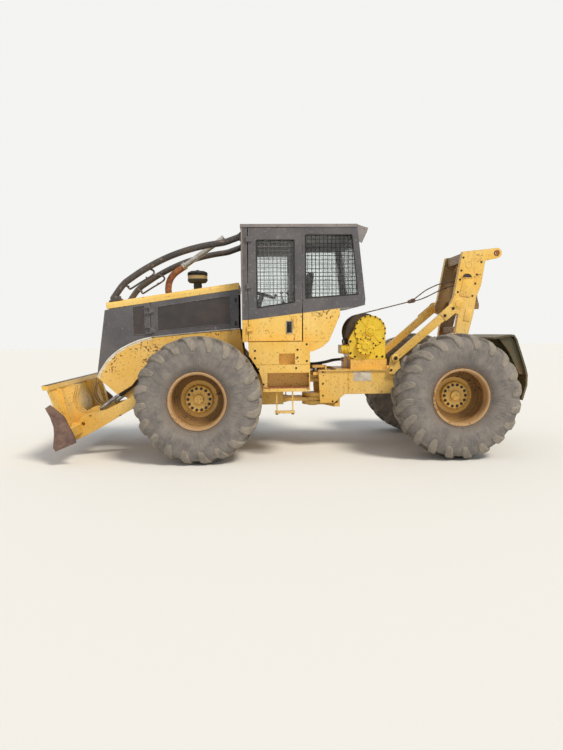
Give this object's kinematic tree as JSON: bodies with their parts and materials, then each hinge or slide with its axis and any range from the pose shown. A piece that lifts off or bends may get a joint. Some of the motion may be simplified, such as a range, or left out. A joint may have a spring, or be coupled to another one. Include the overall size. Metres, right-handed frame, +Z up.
{
  "type": "cable skidder",
  "caption": "Articulated log skidder with a raked cab, blade on arms, rear winch with rope arch, fairlead rollers and four lugged wheels.",
  "frame": {"origin": "middle of the bounding box on the ground", "axes": "+X forward to the blade, +Y to the left side, +Z up"},
  "size_m": [6.15, 2.58, 2.9448],
  "materials": {
    "yellow_paint": "faded orange-yellow machine paint",
    "charcoal_paint": "faded charcoal panel paint",
    "winch_yellow": "fresher lemon yellow paint",
    "dark_steel": "oily dark steel",
    "roof_paint": "weathered pale roof paint",
    "worn_steel": "worn brown steel",
    "rust_pipe": "rusty elbow and silver pipe",
    "olive_plastic": "weathered olive black",
    "rod_chrome": "chromed cylinder rod",
    "roller_steel": "worn grey roller steel",
    "rope_steel": "oily wire rope",
    "tyre": "dusty grey tyre rubber",
    "hose_rubber": "black hose rubber",
    "seat_vinyl": "black vinyl",
    "glass": "clear cab glass",
    "olive_paint": "dirty olive steel"
  },
  "bodies": {
    "front": {"front_frame": "yellow_paint", "nose_guard": "charcoal_paint", "hood": "yellow_paint", "side_aprons": "yellow_paint", "engine": "dark_steel", "front_axle": "dark_steel", "cab_base": "yellow_paint", "cab_frame": "charcoal_paint", "cab_roof": "roof_paint", "cab_screens": "dark_steel", "cab_glass": "glass", "seat": "seat_vinyl", "controls": "dark_steel", "limb_risers": "dark_steel", "exhaust": "rust_pipe", "precleaner": "olive_plastic", "side_boxes": "yellow_paint", "steering_barrels": "dark_steel"},
    "rear": {"rear_frame": "yellow_paint", "rear_axle": "dark_steel", "arch": "yellow_paint", "arch_struts": "yellow_paint", "winch_case": "winch_yellow", "winch_rope": "rope_steel", "butt_plate": "olive_paint", "hitch_hoses": "hose_rubber"},
    "cab_door_left": {"door_left": "charcoal_paint", "door_glass_left": "glass"},
    "cab_door_right": {"door_right": "charcoal_paint", "door_glass_right": "glass"},
    "engine_door_left": {"engine_door_left": "charcoal_paint"},
    "engine_door_right": {"engine_door_right": "charcoal_paint"},
    "blade": {"blade": "yellow_paint", "blade_edge": "worn_steel", "blade_arms": "yellow_paint"},
    "lift_barrels": {"blade_barrels": "dark_steel"},
    "lift_rods": {"blade_rods": "rod_chrome"},
    "steer_rod_left": {"steering_rod_left": "rod_chrome"},
    "steer_rod_right": {"steering_rod_right": "rod_chrome"},
    "winch_drum": {"winch_drum": "dark_steel"},
    "roller_left": {"fairlead_roller_left": "roller_steel"},
    "roller_right": {"fairlead_roller_right": "roller_steel"},
    "roller_cross": {"fairlead_roller_cross": "roller_steel"},
    "wheel_front_left": {"tyre_front_left": "tyre", "rim_front_left": "yellow_paint"},
    "wheel_front_right": {"tyre_front_right": "tyre", "rim_front_right": "yellow_paint"},
    "wheel_rear_left": {"tyre_rear_left": "tyre", "rim_rear_left": "yellow_paint"},
    "wheel_rear_right": {"tyre_rear_right": "tyre", "rim_rear_right": "yellow_paint"}
  },
  "joints": [
    {"name": "steering", "type": "hinge", "parent": "front", "child": "rear", "pos_m": [-0.275, 0, 0.8], "axis": [0, 0, 1], "range_deg": [-45, 45], "deforming": ["hitch_hoses"]},
    {"name": "steer_rod_left_slide", "type": "slide", "parent": "front", "child": "steer_rod_left", "axis": [1, 0, 0], "range_m": [-0.17, 0.17]},
    {"name": "steer_rod_right_slide", "type": "slide", "parent": "front", "child": "steer_rod_right", "axis": [1, 0, 0], "range_m": [-0.17, 0.17]},
    {"name": "blade_lift", "type": "hinge", "parent": "front", "child": "blade", "pos_m": [1.775, 0, 0.85], "axis": [0, -1, 0], "range_deg": [-15, 28]},
    {"name": "lift_barrel_swing", "type": "hinge", "parent": "front", "child": "lift_barrels", "pos_m": [1.825, 0, 1.18], "axis": [0, -1, 0], "range_deg": [-14, 25.5]},
    {"name": "lift_rod_slide", "type": "slide", "parent": "lift_barrels", "child": "lift_rods", "axis": [0.7992, 0, -0.6011], "range_m": [-0.152, 0.082]},
    {"name": "cab_door_left_hinge", "type": "hinge", "parent": "front", "child": "cab_door_left", "pos_m": [0.616, 0.796, 2.2], "axis": [0, 0, -1], "range_deg": [0, 95]},
    {"name": "cab_door_right_hinge", "type": "hinge", "parent": "front", "child": "cab_door_right", "pos_m": [0.616, -0.796, 2.2], "axis": [0, 0, 1], "range_deg": [0, 95]},
    {"name": "engine_door_left_hinge", "type": "hinge", "parent": "front", "child": "engine_door_left", "pos_m": [1.883, 0.516, 1.8], "axis": [0, 0, -1], "range_deg": [0, 100]},
    {"name": "engine_door_right_hinge", "type": "hinge", "parent": "front", "child": "engine_door_right", "pos_m": [1.883, -0.516, 1.8], "axis": [0, 0, 1], "range_deg": [0, 100]},
    {"name": "winch_spin", "type": "hinge", "parent": "rear", "child": "winch_drum", "pos_m": [-0.975, 0, 1.59], "axis": [0, 1, 0], "continuous": true},
    {"name": "roller_left_spin", "type": "hinge", "parent": "rear", "child": "roller_left", "pos_m": [-2.51, 0.185, 2.2], "axis": [0, 0, 1], "continuous": true},
    {"name": "roller_right_spin", "type": "hinge", "parent": "rear", "child": "roller_right", "pos_m": [-2.51, -0.185, 2.2], "axis": [0, 0, 1], "continuous": true},
    {"name": "roller_cross_spin", "type": "hinge", "parent": "rear", "child": "roller_cross", "pos_m": [-2.51, 0, 1.93], "axis": [0, 1, 0], "continuous": true},
    {"name": "wheel_front_left_spin", "type": "hinge", "parent": "front", "child": "wheel_front_left", "pos_m": [1.225, 0.99, 0.78], "axis": [0, 1, 0], "continuous": true},
    {"name": "wheel_front_right_spin", "type": "hinge", "parent": "front", "child": "wheel_front_right", "pos_m": [1.225, -0.99, 0.78], "axis": [0, 1, 0], "continuous": true},
    {"name": "wheel_rear_left_spin", "type": "hinge", "parent": "rear", "child": "wheel_rear_left", "pos_m": [-1.975, 0.99, 0.78], "axis": [0, 1, 0], "continuous": true},
    {"name": "wheel_rear_right_spin", "type": "hinge", "parent": "rear", "child": "wheel_rear_right", "pos_m": [-1.975, -0.99, 0.78], "axis": [0, 1, 0], "continuous": true}
  ],
  "couplings": [
    {"joint": "steer_rod_left_slide", "follows": "steering", "m_per_rad": -0.2158},
    {"joint": "steer_rod_right_slide", "follows": "steering", "m_per_rad": 0.2158},
    {"joint": "lift_barrel_swing", "follows": "blade_lift", "ratio": 0.8795},
    {"joint": "lift_rod_slide", "follows": "blade_lift", "m_per_rad": -0.30895}
  ]
}
